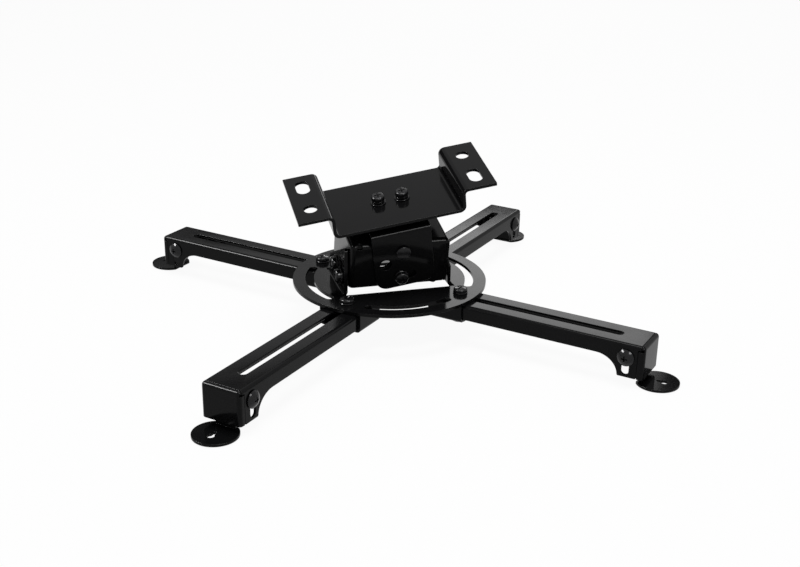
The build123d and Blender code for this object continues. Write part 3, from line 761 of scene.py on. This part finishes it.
def makeFloor(plan):
    deselectAll()
    bpy.ops.mesh.primitive_plane_add(size=plan["size"], location=(0, 0, plan["low"]))
    floor = bpy.context.object
    floor.name = "studioFloor"
    material, tree = newMaterial("studioFloor")
    paper = tree.node("ShaderNodeBsdfDiffuse", {}, {"Color": plan["colour"]})
    glow = tree.node("ShaderNodeEmission", {}, {"Color": white, "Strength": 1.0})
    mixed = tree.node("ShaderNodeMixShader", {}, {
        0: seenRays(tree) * plan["shown"], 1: paper["BSDF"], 2: glow["Emission"]})
    tree.node("ShaderNodeOutputMaterial", {}, {"Surface": mixed["Shader"]})
    floor.data.materials.append(material)


# a sky that shows white and lights the object dimly
skyPlan = {"dim": 0.35}


def makeSky(plan):
    world = bpy.data.worlds.new("studioSky")
    scene.world = world
    world.use_nodes = True
    tree = ShadeTree(world.node_tree)
    level = seenRays(tree) * (1 - plan["dim"]) + plan["dim"]
    sky = tree.node("ShaderNodeBackground", {}, {"Color": white, "Strength": level})
    tree.node("ShaderNodeOutputWorld", {}, {"Surface": sky["Background"]})


# the matrix that puts a card or lamp at its place with its front to its aim
def facing(plan, front):
    place = Vector(plan["place"])
    towards = (Vector(plan["aim"]) - place).to_track_quat(front, "Y")
    return Matrix.Translation(place) @ towards.to_matrix().to_4x4()


# cards that only the gloss mirrors: a dark flag behind the object and a grey panel before the flag
cards = {
    "backFlag": {"place": (0.2, 2.4, 0.85), "aim": (0.2, 0, 0.85), "size": (6.0, 1.9), "tone": 0.07},
    "greyPanel": {"place": (0.02, 1.88, 0.855), "aim": (0, 0, 0.03), "size": (0.91, 0.31), "tone": 0.80},
}


def makeCard(name, plan):
    deselectAll()
    bpy.ops.mesh.primitive_plane_add(size=1)
    card = bpy.context.object
    card.name = name + "Card"
    card.data.transform(facing(plan, "Z") @ Matrix.Diagonal((*plan["size"], 1, 1)))
    card.visible_camera = False
    card.visible_diffuse = False
    card.visible_shadow = False
    material, tree = newMaterial(name + "Card")
    tone = plan["tone"]
    paper = tree.node("ShaderNodeEmission", {}, {"Color": (tone, tone, tone, 1), "Strength": 1.0})
    tree.node("ShaderNodeOutputMaterial", {}, {"Surface": paper["Emission"]})
    card.data.materials.append(material)


# soft boxes; those that are gloss only add highlights on edges and heads
lamps = {
    "backSoft": {
        "place": (0.745, 1.71, 0.815), "aim": (0, 0, 0.03), "size": (0.77, 0.37),
        "power": 3.05, "glossOnly": False},
    "overhead": {
        "place": (0.0, -0.1, 1.4), "aim": (0, 0, 0.05), "size": (0.8, 0.5),
        "power": 14, "glossOnly": False},
    "frontSoft": {
        "place": (0.3, -1.08, 0.9), "aim": (0, 0, 0.06), "size": (0.9, 0.4),
        "power": 17, "glossOnly": True},
    "leftSoft": {
        "place": (-1.07, 0.15, 0.96), "aim": (0, 0, 0.04), "size": (0.7, 0.3),
        "power": 36, "glossOnly": True},
}


def makeLamp(name, plan):
    data = bpy.data.lights.new(name, "AREA")
    data.shape = "RECTANGLE"
    data.size, data.size_y = plan["size"]
    data.energy = plan["power"]
    lamp = bpy.data.objects.new(name, data)
    scene.collection.objects.link(lamp)
    lamp.visible_diffuse = not plan["glossOnly"]
    lamp.matrix_world = facing(plan, "-Z")


makeFloor(floorPlan)
makeSky(skyPlan)
for name, plan in cards.items():
    makeCard(name, plan)
for name, plan in lamps.items():
    makeLamp(name, plan)
print("floor, sky, cards and lamps set")

# the photo's own camera, found from points on the plate, arms, feet and bracket
photoCamera = {
    "place": (-0.22326, -0.83448, 0.38091),
    "azimuth": -16.25,
    "elevation": 22.31,
    "roll": 1.19,
    "focalPixels": 1194.2,
    "shiftPixels": (13.84, 3.08),
    "imageWidth": 800,
    "sensorWidth": 36,
}


def makeCamera(plan):
    azimuth, elevation, roll = (math.radians(plan[key]) for key in ("azimuth", "elevation", "roll"))
    level = Vector((math.cos(azimuth), math.sin(azimuth), 0))
    flatBack = Vector((math.sin(azimuth), -math.cos(azimuth), 0))
    back = flatBack * math.cos(elevation) + Vector((0, 0, math.sin(elevation)))
    upright = back.cross(level)
    right = math.cos(roll) * level + math.sin(roll) * upright
    up = math.cos(roll) * upright - math.sin(roll) * level
    data = bpy.data.cameras.new("photoCamera")
    data.sensor_width = plan["sensorWidth"]
    data.lens = plan["focalPixels"] / plan["imageWidth"] * plan["sensorWidth"]
    data.shift_x = -plan["shiftPixels"][0] / plan["imageWidth"]
    data.shift_y = plan["shiftPixels"][1] / plan["imageWidth"]
    camera = bpy.data.objects.new("photoCamera", data)
    scene.collection.objects.link(camera)
    turned = Matrix((right, up, back)).transposed().to_4x4()
    camera.matrix_world = Matrix.Translation(Vector(plan["place"])) @ turned
    scene.camera = camera


makeCamera(photoCamera)
print("camera set")
